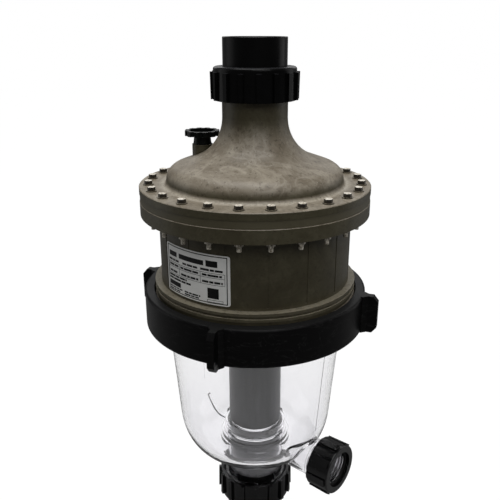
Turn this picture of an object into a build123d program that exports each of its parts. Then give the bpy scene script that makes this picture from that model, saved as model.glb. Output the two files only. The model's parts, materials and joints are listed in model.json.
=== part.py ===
from build123d import *
import os
from math import cos, radians, sin

# Upright centrifugal filter for a water pipe: dirty water enters at the bottom, rises through a central
# pipe, spins down through two rings of small hydrocyclones and leaves at the top. Dirt drops into the
# clear bowl, which drains at the side. Millimetres, +Z up, origin at the bottom centre of the inlet.

# Clearances
seat_gap = 0.3  # between seated faces of pieces that move apart
turn_gap = 0.4  # between round faces of pieces that turn on each other
fit_gap = 0.15  # between pieces that are assembled and stay
grip_gap = 0.05  # between a bolt and its nut
thread_depth = 2.0  # height of a coarse thread's ridge, left free on both lands

# Pipe unions at the inlet and the outlet
pipe_r = 30.15  # outside radius of the pipe that is glued in
tail_wall = 5.8
tail_reach = 31.0  # barrel that shows beyond the nut
tail_flange_out = 5.2  # beyond the barrel
tail_flange_thick = 6.0
tail_stop = 2.8  # shoulder that stops the pipe
union_nut_height = 36.0
union_lip_thick = 6.0
union_nut_wall = 4.65
union_rib_out = 3.5
union_rib_width = 5.6
union_rib_start = 5.6
union_rib_count = 16
inlet_rib_angle = 2.7
outlet_rib_angle = 4.6
union_land_out = 2.6  # land of the thread beyond the neck
union_thread_length = 21.0
neck_r = 37.4
neck_wall = 3.2
union_seal_inset = 2.8  # from the land of the thread
union_seal_section = 1.3
nut_edge = 1.2
nut_round = 3.0

# Clear bowl
stub_show = 50.4  # stub between the union's thread and the bowl's floor
floor_thick = 7.0
bowl_wall = 5.5
bowl_draft = 11.3  # from the mouth in to where the wall meets the rounded bottom
bowl_tangent_rise = 52.0  # of that place above the floor's underside
bowl_corner_run = 38.0
bowl_wall_height = 189.3  # from the floor's underside to the rim's underside
bowl_rim_inset = 1.6  # from the housing's threaded land
bowl_rim_out = 9.7  # beyond the bowl's wall
bowl_rim_thick = 9.0
bowl_seal_inset = 7.2  # from the rim's edge
bowl_seal_section = 2.4
collar_height = 28.7
collar_wall = 5.85
collar_steps = 3
collar_step_rise = 5.2
collar_step_out = 2.2
keel_width = 4.0
keel_height = 3.0
keel_rise = 25.0
keel_sink = 1.0
bezier_pull = 0.5523  # share of the run that rounds a quarter turn

# Side drain
drain_angle = 50.3  # from the front towards the right
drain_rise = 13.0  # axis above the floor's underside
drain_bore_r = 19.0
drain_wall = 4.2
drain_sump_inset = 23.0  # centre of the sump's round end inside the bowl's tangent
drain_bead_out = 2.0  # start of the bead beyond that tangent
drain_bead_width = 2.4
drain_land_out = 1.4  # bead and land of the thread beyond the stub
drain_thread_gap = 4.0  # from the bead's start to the thread's
drain_thread_length = 24.0
drain_seal_thick = 3.0
drain_seal_out = 1.0  # beyond the land
drain_nut_lip = 4.0
drain_nut_height = 29.0
drain_nut_wall = 3.85
drain_nut_rib_out = 1.8
drain_nut_hole_out = 3.2  # beyond the drain's bore
drain_nut_round = 1.5
drain_rib_count = 8
drain_rib_width = 9.4
drain_rib_start = 2.4
drain_rib_angle = -4.5

# Riser pipe inside the bowl
riser_r = 34.0
riser_wall = 4.0
riser_seat_rise = 30.0  # of its lower end above the stub's end face
riser_top_above_plate = 5.0
riser_seal_section = 1.5
riser_seal_depth = 12.0  # of each seal below the mouth of its collar

# Lock ring
ring_wall = 12.4
ring_lip_thick = 7.0
ring_lip_clear = 1.2  # round the bowl's wall
ring_height = 46.5
ring_top_round = 3.5
ring_bottom_round = 4.0
ring_mouth_chamfer = 1.2
lug_count = 4
lug_first_angle = -17.8
lug_out = 17.6  # beyond the ring
lug_thick = 8.4
lug_root_width = 17.0
lug_root_run = 5.5
lug_sink = 4.0
lug_chamfer_run = 5.7
lug_chamfer_rise = 7.0

# Housing
housing_r = 114.0
housing_wall = 6.0
housing_height = 140.0  # from its lower face to the flange's top
land_out = 6.6  # land of the thread beyond the wall
land_height = 31.9
bead_out = 8.0
bead_height = 10.0
bead_groove_depth = 2.4
bead_groove_height = 3.2
flange_out = 21.0
housing_flange_thick = 16.1
flange_edge = 0.8
ledge_width = 7.0
ledge_drop = 35.6  # from the flange's top to the ledge
ledge_thick = 6.0
flute_count = 16
flute_first_angle = 6.8
flute_width = 2.4
flute_depth = 0.5
flute_end_gap = 3.0

# Cyclone plate, hydrocyclones and vortex plate
cyclone_plate_thick = 8.0
cyclone_plate_gap = 0.4
plate_collar_height = 26.0
plate_collar_wall = 5.7
riser_to_cyclones = 4.5
between_cyclones = 1.0
cyclones_to_housing = 6.5
inner_count = 6
outer_count = 10
outer_first_angle = 18.0
cyclone_wall = 3.0
cyclone_step = 2.5  # from the head in to the barrel
cyclone_barrel = 14.0  # straight part below the head
cyclone_length = 91.0  # below the head
cyclone_tip_r = 4.6
cyclone_tip_length = 8.0
cyclone_apex_r = 2.3
cyclone_slot_width = 6.0
cyclone_slot_height = 15.0
cyclone_slot_rise = 9.0
vortex_plate_thick = 8.7
vortex_plate_inset = 0.5  # from the flange's edge
vortex_tube_r = 6.0
vortex_bore_r = 4.0
vortex_tube_length = 22.0
plate_seal_section = 1.8
flange_seal_out = 2.5  # beyond the housing's wall
flange_seal_section = 1.9

# Lid
lid_flange_thick = 8.2
dome_inset = 10.6  # from the housing's wall
dome_wall = 5.0
dome_rise = 5.3  # straight wall above the flange
shoulder_r = 17.0
flare_r = 48.7
flare_angle = 70.0
neck_show = 21.6
root_fillet = 5.0

# Air bleed
bleed_angle = -110.0
bleed_out = 29.1  # beyond the neck
bleed_boss_r = 12.2
bleed_boss_rise = 40.5  # above the lid's flange
bleed_bore_r = 6.2
bleed_bore_depth = 10.0
bleed_vent_r = 1.6
bleed_stem_r = 10.8
bleed_stem_waist_r = 9.6
bleed_stem_height = 9.7
bleed_rim_r = 20.5
bleed_rim_height = 6.0
bleed_dish_r = 15.5
bleed_dish_depth = 3.4
bleed_scallops = 12
bleed_scallop_r = 2.6
bleed_spigot_r = 5.8
bleed_spigot_length = 8.5
bleed_seal_section = 1.1
bleed_seal_rise = 3.0  # above the spigot's end

# Fasteners round the flange
bolt_count = 24
bolt_inset = 11.0  # from the flange's edge
bolt_first_angle = 7.5
bolt_r = 2.5
bolt_hole_r = 2.75
bolt_length = 45.0
head_across = 8.0
head_height = 4.0
nut_height = 4.0
upper_washer_r = 6.1
lower_washer_r = 5.0
washer_thick = 1.0

# Rating label
label_middle_angle = -36.2
label_width = 89.6  # across the chord
label_rise = 3.8  # from the top of the beads
label_drop = 20.7  # from the flange's underside
label_adhesive = 0.3
label_thick = 0.4
label_corner = 3.0

# Heights worked out from the sizes above, from the bottom up
union_face = tail_reach + union_lip_thick + tail_flange_thick + 2 * seat_gap
stub_thread_top = union_face + union_thread_length
floor_under = stub_thread_top + stub_show
floor_top = floor_under + floor_thick
collar_top = floor_top + collar_height
rim_under = floor_under + bowl_wall_height
rim_top = rim_under + bowl_rim_thick
ring_bottom = rim_under - seat_gap - ring_lip_thick
ring_top = ring_bottom + ring_height
housing_bottom = rim_top + seat_gap
bead_bottom = housing_bottom + land_height
bead_top = bead_bottom + bead_height
housing_top = housing_bottom + housing_height
housing_flange_under = housing_top - housing_flange_thick
ledge_top = housing_top - ledge_drop
cyclone_plate_top = ledge_top + cyclone_plate_thick
vortex_plate_top = housing_top + vortex_plate_thick
lid_flange_top = vortex_plate_top + lid_flange_thick
bleed_boss_top = lid_flange_top + bleed_boss_rise
riser_bottom = union_face + riser_seat_rise
riser_top = cyclone_plate_top + riser_top_above_plate
drain_height = floor_under + drain_rise

# Radii of the unions
tail_barrel_r = pipe_r + fit_gap + tail_wall
tail_flange_r = tail_barrel_r + tail_flange_out
tail_throat_r = pipe_r + fit_gap - tail_stop
neck_bore_r = neck_r - neck_wall
union_thread_r = neck_r + union_land_out
union_seal_r = union_thread_r - union_seal_inset
nut_bore_r = union_thread_r + thread_depth + fit_gap
union_core_r = nut_bore_r + union_nut_wall
union_rib_r = union_core_r + union_rib_out

# Radii of the housing and of what is bolted to it, from its wall outwards and inwards
housing_bore_r = housing_r - housing_wall
land_r = housing_r + land_out
bead_r = housing_r + bead_out
bead_groove_r = bead_r - bead_groove_depth
flange_r = housing_r + flange_out
bolt_circle_r = flange_r - bolt_inset
vortex_plate_r = flange_r - vortex_plate_inset
flange_seal_r = housing_r + flange_seal_out
ledge_r = housing_bore_r - ledge_width
plate_seal_r = (ledge_r + housing_bore_r) / 2
dome_r = housing_r - dome_inset
bleed_reach = neck_r + bleed_out

# Radii of the riser and of the two rings of hydrocyclones, which fill the room between it and the housing
stub_r = riser_r + fit_gap + neck_wall
riser_bore_r = riser_r - riser_wall
riser_groove = 2 * riser_seal_section + 2 * fit_gap
collar_r = riser_r + fit_gap + collar_wall
plate_collar_r = riser_r + seat_gap + plate_collar_wall
cyclone_room = housing_bore_r - cyclones_to_housing - riser_r - riser_to_cyclones
cyclone_head_r = (cyclone_room - between_cyclones) / 4
cyclone_body_r = cyclone_head_r - cyclone_step
cyclone_bore_r = cyclone_head_r - cyclone_wall
inner_circle_r = riser_r + riser_to_cyclones + cyclone_head_r
outer_circle_r = inner_circle_r + 2 * cyclone_head_r + between_cyclones

# Radii of the bowl and of the lock ring, from the housing's threaded land
bowl_rim_r = land_r - bowl_rim_inset
bowl_mouth_r = bowl_rim_r - bowl_rim_out
bowl_tangent_r = bowl_mouth_r - bowl_draft
bowl_seal_r = bowl_rim_r - bowl_seal_inset
ring_bore_r = land_r + thread_depth + turn_gap
ring_pilot_r = bowl_rim_r + turn_gap
ring_lip_r = bowl_mouth_r + ring_lip_clear
ring_r = ring_bore_r + ring_wall
lug_reach = ring_r + lug_out

# Reaches and radii of the side drain
drain_sump_reach = bowl_tangent_r - drain_sump_inset
drain_bead_reach = bowl_tangent_r + drain_bead_out
drain_thread_start = drain_bead_reach + drain_thread_gap
drain_end_reach = drain_thread_start + drain_thread_length
drain_thread_r = drain_bore_r + drain_wall + drain_land_out
drain_seal_r = drain_thread_r + drain_seal_out
drain_nut_bore_r = drain_thread_r + thread_depth + fit_gap
drain_nut_core_r = drain_nut_bore_r + drain_nut_wall
drain_nut_rib_r = drain_nut_core_r + drain_nut_rib_out
drain_nut_hole_r = drain_bore_r + drain_nut_hole_out

# The lid's dome: a concave flare off the neck, a straight slope and a convex shoulder
slope_sin = sin(radians(flare_angle))
slope_cos = cos(radians(flare_angle))
shoulder_centre = (dome_r - shoulder_r, lid_flange_top + dome_rise)
flare_centre_r = neck_r + flare_r
slope_run = shoulder_centre[0] + shoulder_r * slope_cos - (flare_centre_r - flare_r * slope_cos)
slope_drop = slope_run * slope_cos / slope_sin
flare_top = shoulder_centre[1] + (shoulder_r + flare_r) * slope_sin + slope_drop
outlet_thread_bottom = flare_top + neck_show
outlet_face = outlet_thread_bottom + union_thread_length
overall_height = outlet_face + union_face

os.makedirs("parts", exist_ok=True)


def at_angle(angle, radius):
    """Point on a circle: angle in degrees from the front (-Y) towards the right (+X)."""
    return (radius * sin(radians(angle)), -radius * cos(radians(angle)))


def on_arc(centre, radius, angle):
    """Point of an arc in a half section: angle in degrees from the outward direction, upwards."""
    return (centre[0] + radius * cos(radians(angle)), centre[1] + radius * sin(radians(angle)))


def section_of(base):
    """Plane through a base plane's axis: local X is the radius, local Y the height above the base."""
    return Plane(origin=base.origin, x_dir=base.x_dir, z_dir=-base.y_dir)


def facing(angle, height):
    """Horizontal plane at a height whose local X points out at this angle."""
    return Plane(origin=(0, 0, height), x_dir=(*at_angle(angle, 1), 0), z_dir=(0, 0, 1))


def flange_places():
    """Places of the flange's fasteners."""
    pitch = 360 / bolt_count
    return [at_angle(bolt_first_angle + pitch * step, bolt_circle_r) for step in range(bolt_count)]


def cyclone_places():
    """Angle and axis of each hydrocyclone, the inner ring first."""
    rings = ((inner_circle_r, inner_count, 0), (outer_circle_r, outer_count, outer_first_angle))
    places = []
    for circle_r, count, first in rings:
        for step in range(count):
            angle = first + 360 / count * step
            places.append((angle, at_angle(angle, circle_r)))
    return places


def write(part, name):
    """Label a finished piece and write it."""
    part.label = name
    export_step(part, f"parts/{name}.step")


def seal_ring(base, ring_radius, section_radius):
    """O-ring whose section centre lies at this radius in the base plane."""
    with BuildPart() as ring:
        with BuildSketch(section_of(base)):
            with Locations((ring_radius, 0)):
                Circle(section_radius)
        revolve(axis=Axis(base.origin, base.z_dir))
    return ring.part


def tailpiece(base):
    """Glue-in union end standing on its open end, with its flange along the plane's normal."""
    flange_from = tail_reach + union_lip_thick + seat_gap
    socket_r = pipe_r + fit_gap
    with BuildPart() as tail:
        with BuildSketch(section_of(base)):
            with BuildLine():
                Polyline(
                    (socket_r + nut_edge, 0),
                    (tail_barrel_r - nut_edge / 2, 0),
                    (tail_barrel_r, nut_edge / 2),
                    (tail_barrel_r, flange_from),
                    (tail_flange_r, flange_from),
                    (tail_flange_r, flange_from + tail_flange_thick),
                    (tail_throat_r, flange_from + tail_flange_thick),
                    (tail_throat_r, flange_from),
                    (socket_r, flange_from),
                    (socket_r, nut_edge),
                    close=True,
                )
            make_face()
        revolve(axis=Axis(base.origin, base.z_dir))
    return tail.part


def ribbed_nut(base, hole_r, bore_r, core_r, rib_r, height, lip, edge_round, ribs, rib_width, rib_start, rib_angle):
    """Union nut standing on its lip, with its threaded mouth along the plane's normal."""
    round_centre = (core_r - edge_round, edge_round)
    with BuildPart() as nut:
        with BuildSketch(section_of(base)):
            with BuildLine():
                Polyline((core_r, edge_round), (core_r, height), (bore_r + nut_edge, height))
                Polyline((bore_r + nut_edge, height), (bore_r, height - nut_edge), (bore_r, lip), (hole_r, lip))
                Polyline((hole_r, lip), (hole_r, 0), (core_r - edge_round, 0))
                ThreePointArc(*[on_arc(round_centre, edge_round, angle) for angle in (-90, -45, 0)])
            make_face()
        revolve(axis=Axis(base.origin, base.z_dir))
        with BuildSketch(base.offset(rib_start)):
            with PolarLocations((core_r + rib_r - nut_edge) / 2, ribs, start_angle=rib_angle):
                Rectangle(rib_r - core_r + nut_edge, rib_width)
        extrude(amount=height - rib_start - nut_edge / 2, taper=1)
    return nut.part


def union_nut(base, rib_angle):
    """Nut of a pipe union, the same at both ends."""
    return ribbed_nut(
        base.offset(tail_reach),
        hole_r=tail_barrel_r + turn_gap,
        bore_r=nut_bore_r,
        core_r=union_core_r,
        rib_r=union_rib_r,
        height=union_nut_height,
        lip=union_lip_thick,
        edge_round=nut_round,
        ribs=union_rib_count,
        rib_width=union_rib_width,
        rib_start=union_rib_start,
        rib_angle=rib_angle,
    )


# Unions at both ends
inlet_base = Plane.XY
outlet_base = Plane(origin=(0, 0, overall_height), x_dir=(1, 0, 0), z_dir=(0, 0, -1))
seal_height = union_face + union_seal_section
write(tailpiece(inlet_base), "inlet_tailpiece")
write(tailpiece(outlet_base), "outlet_tailpiece")
write(union_nut(inlet_base, inlet_rib_angle), "inlet_union_nut")
write(union_nut(outlet_base, -outlet_rib_angle), "outlet_union_nut")
write(seal_ring(inlet_base.offset(seal_height), union_seal_r, union_seal_section), "inlet_seal")
write(seal_ring(outlet_base.offset(seal_height), union_seal_r, union_seal_section), "outlet_seal")

# Clear bowl
drain_direction = (*at_angle(drain_angle, 1), 0)
drain_base = Plane(origin=(0, 0, drain_height), x_dir=(0, 0, 1), z_dir=drain_direction)
keel_plane = section_of(facing(drain_angle + 180, 0))
draft = (bowl_mouth_r - bowl_tangent_r) / (bowl_wall_height - bowl_tangent_rise)


def bowl_outline(inset, bottom):
    """Half section under the bowl's wall, moved in by the inset and closed at the bottom's height."""
    tangent = (bowl_tangent_r - inset, floor_under + bowl_tangent_rise)
    corner = (bowl_tangent_r - bowl_corner_run, bottom)
    fall = bezier_pull * (tangent[1] - bottom)
    run = bezier_pull * (tangent[0] - corner[0])
    with BuildSketch() as outline:
        with BuildLine():
            Polyline(corner, (0, bottom), (0, rim_top), (bowl_mouth_r - inset, rim_top))
            Polyline((bowl_mouth_r - inset, rim_top), (bowl_mouth_r - inset, rim_under), tangent)
            Bezier(tangent, (tangent[0] - fall * draft, tangent[1] - fall), (corner[0] + run, bottom), corner)
        make_face()
    return outline.sketch


bowl_cavity = bowl_outline(bowl_wall, floor_top)
with BuildSketch() as keel_profile:
    add(bowl_outline(bowl_wall - keel_sink, floor_top - keel_sink))
    add(bowl_outline(bowl_wall + keel_height, floor_top + keel_height), mode=Mode.SUBTRACT)
    with Locations((bowl_mouth_r / 2 + stub_r / 2, floor_top + keel_rise / 2 - keel_sink)):
        Rectangle(bowl_mouth_r - stub_r, keel_rise + 2 * keel_sink, mode=Mode.INTERSECT)

with BuildPart() as bowl:
    with BuildSketch(Plane.XZ):
        add(bowl_outline(0, floor_under))
        with Locations((bowl_rim_r / 2, rim_under + bowl_rim_thick / 2)):
            Rectangle(bowl_rim_r, bowl_rim_thick)
        with Locations((bowl_seal_r, rim_top)):
            Rectangle(2 * bowl_seal_section + 2 * fit_gap, 4 * bowl_seal_section, mode=Mode.SUBTRACT)
    revolve(axis=Axis.Z)
    with BuildSketch(drain_base.offset(drain_sump_reach)):
        Circle(drain_bore_r + drain_wall)
    extrude(amount=drain_thread_start - drain_sump_reach)
    with Locations(drain_base.offset(drain_sump_reach)):
        Sphere(drain_bore_r + drain_wall)
    with BuildSketch(drain_base.offset(drain_bead_reach)):
        Circle(drain_thread_r)
    extrude(amount=drain_bead_width)
    with BuildSketch(drain_base.offset(drain_thread_start)):
        Circle(drain_thread_r)
    extrude(amount=drain_end_reach - drain_thread_start)
    with BuildSketch(Plane.XZ):
        add(bowl_cavity)
    revolve(axis=Axis.Z, mode=Mode.SUBTRACT)
    with BuildSketch(keel_plane):
        add(keel_profile.sketch)
    extrude(amount=keel_width / 2, both=True)
    with BuildSketch(Plane.XZ):
        with Locations((stub_r / 2, (floor_top + union_face) / 2)):
            Rectangle(stub_r, floor_top - union_face)
        with Locations((union_thread_r / 2, union_face + union_thread_length / 2)):
            Rectangle(union_thread_r, union_thread_length)
        with Locations((collar_r / 2, (floor_under + collar_top) / 2)):
            Rectangle(collar_r, collar_top - floor_under)
        for step in range(1, collar_steps + 1):
            step_top = floor_top + collar_step_rise * (collar_steps + 1 - step)
            step_r = collar_r + collar_step_out * step
            with Locations((step_r / 2, (floor_under + step_top) / 2)):
                Rectangle(step_r, step_top - floor_under)
        with Locations((union_seal_r, union_face)):
            Rectangle(2 * union_seal_section + 2 * fit_gap, 4 * union_seal_section, mode=Mode.SUBTRACT)
        with Locations((riser_r + riser_seal_section, collar_top - riser_seal_depth)):
            Rectangle(riser_groove, riser_groove, mode=Mode.SUBTRACT)
    revolve(axis=Axis.Z)
    with BuildSketch(drain_base.offset(drain_sump_reach)):
        Circle(drain_bore_r)
    extrude(amount=drain_end_reach - drain_sump_reach, mode=Mode.SUBTRACT)
    with Locations(drain_base.offset(drain_sump_reach)):
        Sphere(drain_bore_r, mode=Mode.SUBTRACT)
    with BuildSketch(Plane.XY.offset(riser_bottom)):
        Circle(riser_r + fit_gap)
    extrude(amount=collar_top - riser_bottom, mode=Mode.SUBTRACT)
    with BuildSketch(Plane.XY.offset(union_face)):
        Circle(riser_bore_r)
    extrude(amount=riser_seat_rise, mode=Mode.SUBTRACT)
bowl.part.label = "bowl"
export_step(bowl.part, "parts/bowl.step")

bowl_seal_base = Plane.XY.offset(rim_top - bowl_seal_section)
write(seal_ring(bowl_seal_base, bowl_seal_r, bowl_seal_section), "bowl_seal")
foot_seal_base = Plane.XY.offset(collar_top - riser_seal_depth)
write(seal_ring(foot_seal_base, riser_r + riser_seal_section, riser_seal_section), "riser_foot_seal")

with BuildPart() as riser_pipe:
    with BuildSketch(Plane.XY.offset(riser_bottom)):
        Circle(riser_r)
        Circle(riser_bore_r, mode=Mode.SUBTRACT)
    extrude(amount=riser_top - riser_bottom)
riser_pipe.part.label = "riser_pipe"
export_step(riser_pipe.part, "parts/riser_pipe.step")

# Side drain's seal and nut
drain_seal_from = drain_end_reach + seat_gap
drain_nut_face = drain_seal_from + drain_seal_thick + seat_gap + drain_nut_lip
with BuildPart() as drain_seal:
    with BuildSketch(drain_base.offset(drain_seal_from)):
        Circle(drain_seal_r)
        Circle(drain_bore_r + turn_gap, mode=Mode.SUBTRACT)
    extrude(amount=drain_seal_thick)
drain_seal.part.label = "drain_seal"
export_step(drain_seal.part, "parts/drain_seal.step")

inward = Plane(origin=drain_base.offset(drain_nut_face).origin, x_dir=(0, 0, 1), z_dir=-drain_base.z_dir)
drain_union_nut = ribbed_nut(
    inward,
    hole_r=drain_nut_hole_r,
    bore_r=drain_nut_bore_r,
    core_r=drain_nut_core_r,
    rib_r=drain_nut_rib_r,
    height=drain_nut_height,
    lip=drain_nut_lip,
    edge_round=drain_nut_round,
    ribs=drain_rib_count,
    rib_width=drain_rib_width,
    rib_start=drain_rib_start,
    rib_angle=drain_rib_angle,
)
write(drain_union_nut, "drain_union_nut")


# Lock ring with four lugs
def lock_lug(angle):
    """Upright blade that widens at its root and is chamfered at its outer corners."""
    plan = facing(angle, ring_bottom)
    half_root = lug_root_width / 2
    half_tip = lug_thick / 2
    with BuildPart() as lug:
        with BuildSketch(plan):
            with BuildLine():
                Polyline(
                    (ring_r - lug_sink, -half_root),
                    (ring_r, -half_root),
                    (ring_r + lug_root_run, -half_tip),
                    (lug_reach, -half_tip),
                    (lug_reach, half_tip),
                    (ring_r + lug_root_run, half_tip),
                    (ring_r, half_root),
                    (ring_r - lug_sink, half_root),
                    close=True,
                )
            make_face()
        extrude(amount=ring_height)
        with BuildSketch(section_of(plan)):
            with BuildLine():
                Polyline(
                    (ring_r - lug_sink, 0),
                    (lug_reach - lug_chamfer_run, 0),
                    (lug_reach, lug_chamfer_rise),
                    (lug_reach, ring_height - lug_chamfer_rise),
                    (lug_reach - lug_chamfer_run, ring_height),
                    (ring_r - lug_sink, ring_height),
                    close=True,
                )
            make_face()
        extrude(amount=lug_root_width, both=True, mode=Mode.INTERSECT)
    return lug.part


lugs = [lock_lug(lug_first_angle + 360 / lug_count * step) for step in range(lug_count)]
with BuildPart() as lock_ring:
    with BuildSketch(Plane.XZ):
        with BuildLine():
            Polyline(
                (ring_lip_r, ring_bottom),
                (ring_r, ring_bottom),
                (ring_r, ring_top),
                (ring_bore_r + ring_mouth_chamfer, ring_top),
                (ring_bore_r, ring_top - ring_mouth_chamfer),
                (ring_bore_r, rim_top),
                (ring_pilot_r, rim_top),
                (ring_pilot_r, rim_under - seat_gap),
                (ring_lip_r, rim_under - seat_gap),
                close=True,
            )
        make_face()
    revolve(axis=Axis.Z)
    outer_edges = lock_ring.edges().filter_by(GeomType.CIRCLE).group_by(SortBy.RADIUS)[-1].sort_by(Axis.Z)
    fillet(outer_edges[-1], radius=ring_top_round)
    outer_edges = lock_ring.edges().filter_by(GeomType.CIRCLE).group_by(SortBy.RADIUS)[-1].sort_by(Axis.Z)
    fillet(outer_edges[0], radius=ring_bottom_round)
    add(lugs)
lock_ring.part.label = "lock_ring"
export_step(lock_ring.part, "parts/lock_ring.step")

# Housing
with BuildPart() as housing:
    with BuildSketch(Plane.XZ):
        with BuildLine():
            Polyline(
                (housing_bore_r, housing_bottom),
                (land_r, housing_bottom),
                (land_r, bead_bottom),
                (bead_r, bead_bottom),
                (bead_r, bead_top),
                (housing_r, bead_top),
                (housing_r, housing_flange_under),
                (flange_r, housing_flange_under),
                (flange_r, housing_top - flange_edge),
                (flange_r - flange_edge, housing_top),
                (housing_bore_r, housing_top),
                (housing_bore_r, ledge_top),
                (ledge_r, ledge_top),
                (ledge_r, ledge_top - ledge_thick),
                (housing_bore_r, ledge_top - ledge_thick - housing_bore_r + ledge_r),
                close=True,
            )
        make_face()
        with Locations((bead_r, (bead_bottom + bead_top) / 2)):
            Rectangle(2 * (bead_r - bead_groove_r), bead_groove_height, mode=Mode.SUBTRACT)
        with Locations((flange_seal_r, housing_top)):
            Rectangle(2 * flange_seal_section + 2 * fit_gap, 4 * flange_seal_section, mode=Mode.SUBTRACT)
        with Locations((plate_seal_r, ledge_top)):
            Rectangle(2 * plate_seal_section + 2 * fit_gap, 4 * plate_seal_section, mode=Mode.SUBTRACT)
    revolve(axis=Axis.Z)
    with BuildSketch(Plane.XY.offset(bead_top + flute_end_gap)):
        with PolarLocations(housing_r, flute_count, start_angle=flute_first_angle - 90):
            Rectangle(2 * flute_depth, flute_width)
    extrude(amount=housing_flange_under - bead_top - 2 * flute_end_gap, mode=Mode.SUBTRACT)
    with BuildSketch(Plane.XY.offset(housing_flange_under)):
        with Locations(*flange_places()):
            Circle(bolt_hole_r)
    extrude(amount=housing_flange_thick, mode=Mode.SUBTRACT)
housing.part.label = "housing"
export_step(housing.part, "parts/housing.step")

flange_seal_base = Plane.XY.offset(housing_top - flange_seal_section)
write(seal_ring(flange_seal_base, flange_seal_r, flange_seal_section), "flange_seal")
plate_seal_base = Plane.XY.offset(ledge_top - plate_seal_section)
write(seal_ring(plate_seal_base, plate_seal_r, plate_seal_section), "cyclone_plate_seal")

# Cyclone plate with the collar that the riser slides into
top_seal_height = ledge_top - plate_collar_height + riser_seal_depth
top_seal_r = riser_r + seat_gap + riser_seal_section
with BuildPart() as cyclone_plate:
    with BuildSketch(Plane.XY.offset(ledge_top)):
        Circle(housing_bore_r - cyclone_plate_gap)
        with Locations(*[place for angle, place in cyclone_places()]):
            Circle(cyclone_body_r + fit_gap, mode=Mode.SUBTRACT)
    extrude(amount=cyclone_plate_thick)
    with BuildSketch(Plane.XY.offset(ledge_top)):
        Circle(plate_collar_r)
    extrude(amount=-plate_collar_height)
    with BuildSketch(Plane.XY.offset(cyclone_plate_top)):
        Circle(riser_r + seat_gap)
    extrude(amount=-cyclone_plate_thick - plate_collar_height, mode=Mode.SUBTRACT)
    with BuildSketch(Plane.XZ):
        with Locations((top_seal_r, top_seal_height)):
            Rectangle(riser_groove, riser_groove)
    revolve(axis=Axis.Z, mode=Mode.SUBTRACT)
cyclone_plate.part.label = "cyclone_plate"
export_step(cyclone_plate.part, "parts/cyclone_plate.step")
write(seal_ring(Plane.XY.offset(top_seal_height), top_seal_r, riser_seal_section), "riser_top_seal")

# Hydrocyclones: a head with a tangential inlet above the plate and a cone down to the apex
cyclone_head_height = housing_top - cyclone_plate_top
for number, (angle, place) in enumerate(cyclone_places(), start=1):
    centre = (*place, cyclone_plate_top)
    inlet_side = (*at_angle(angle + 90, 1), 0)
    cyclone_base = Plane(origin=centre, x_dir=inlet_side, z_dir=(0, 0, 1))
    with BuildPart() as cyclone:
        with BuildSketch(section_of(cyclone_base)):
            with BuildLine():
                Polyline(
                    (cyclone_bore_r, cyclone_head_height),
                    (cyclone_head_r, cyclone_head_height),
                    (cyclone_head_r, 0),
                    (cyclone_body_r, 0),
                    (cyclone_body_r, -cyclone_barrel),
                    (cyclone_tip_r, cyclone_tip_length - cyclone_length),
                    (cyclone_tip_r, -cyclone_length),
                    (cyclone_apex_r, -cyclone_length),
                    (cyclone_apex_r, cyclone_tip_length - cyclone_length),
                    (cyclone_body_r - cyclone_wall, -cyclone_barrel),
                    (cyclone_body_r - cyclone_wall, 0),
                    (cyclone_bore_r, cyclone_bore_r - cyclone_body_r + cyclone_wall),
                    close=True,
                )
            make_face()
        revolve(axis=Axis(centre, (0, 0, 1)))
        with BuildSketch(cyclone_base.offset(cyclone_slot_rise)):
            with Locations((cyclone_bore_r - cyclone_slot_width / 2, cyclone_head_r / 2)):
                Rectangle(cyclone_slot_width, cyclone_head_r)
        extrude(amount=cyclone_slot_height, mode=Mode.SUBTRACT)
    cyclone.part.label = f"cyclone_{number:02d}"
    export_step(cyclone.part, f"parts/cyclone_{number:02d}.step")

# Vortex plate: one tube down into the head of each hydrocyclone
with BuildPart() as vortex_plate:
    with BuildSketch(Plane.XY.offset(housing_top)):
        Circle(vortex_plate_r)
        with Locations(*flange_places()):
            Circle(bolt_hole_r, mode=Mode.SUBTRACT)
    extrude(amount=vortex_plate_thick)
    with BuildSketch(Plane.XY.offset(housing_top)):
        with Locations(*[place for angle, place in cyclone_places()]):
            Circle(vortex_tube_r)
    extrude(amount=-vortex_tube_length)
    with BuildSketch(Plane.XY.offset(vortex_plate_top)):
        with Locations(*[place for angle, place in cyclone_places()]):
            Circle(vortex_bore_r)
    extrude(amount=-vortex_plate_thick - vortex_tube_length, mode=Mode.SUBTRACT)
vortex_plate.part.label = "vortex_plate"
export_step(vortex_plate.part, "parts/vortex_plate.step")


# Lid
def dome_outline(inset):
    """Half section under the dome, moved in by the inset and open down to the flange's underside."""
    flare_centre = (flare_centre_r, flare_top)
    convex = [on_arc(shoulder_centre, shoulder_r - inset, flare_angle * share) for share in (0, 0.5, 1)]
    concave = [on_arc(flare_centre, -flare_r - inset, flare_angle * share) for share in (1, 0.5, 0)]
    with BuildSketch() as outline:
        with BuildLine():
            Polyline(concave[2], (0, flare_top), (0, vortex_plate_top), (dome_r - inset, vortex_plate_top), convex[0])
            ThreePointArc(*convex)
            Line(convex[2], concave[0])
            ThreePointArc(*concave)
        make_face()
    return outline.sketch


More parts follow.
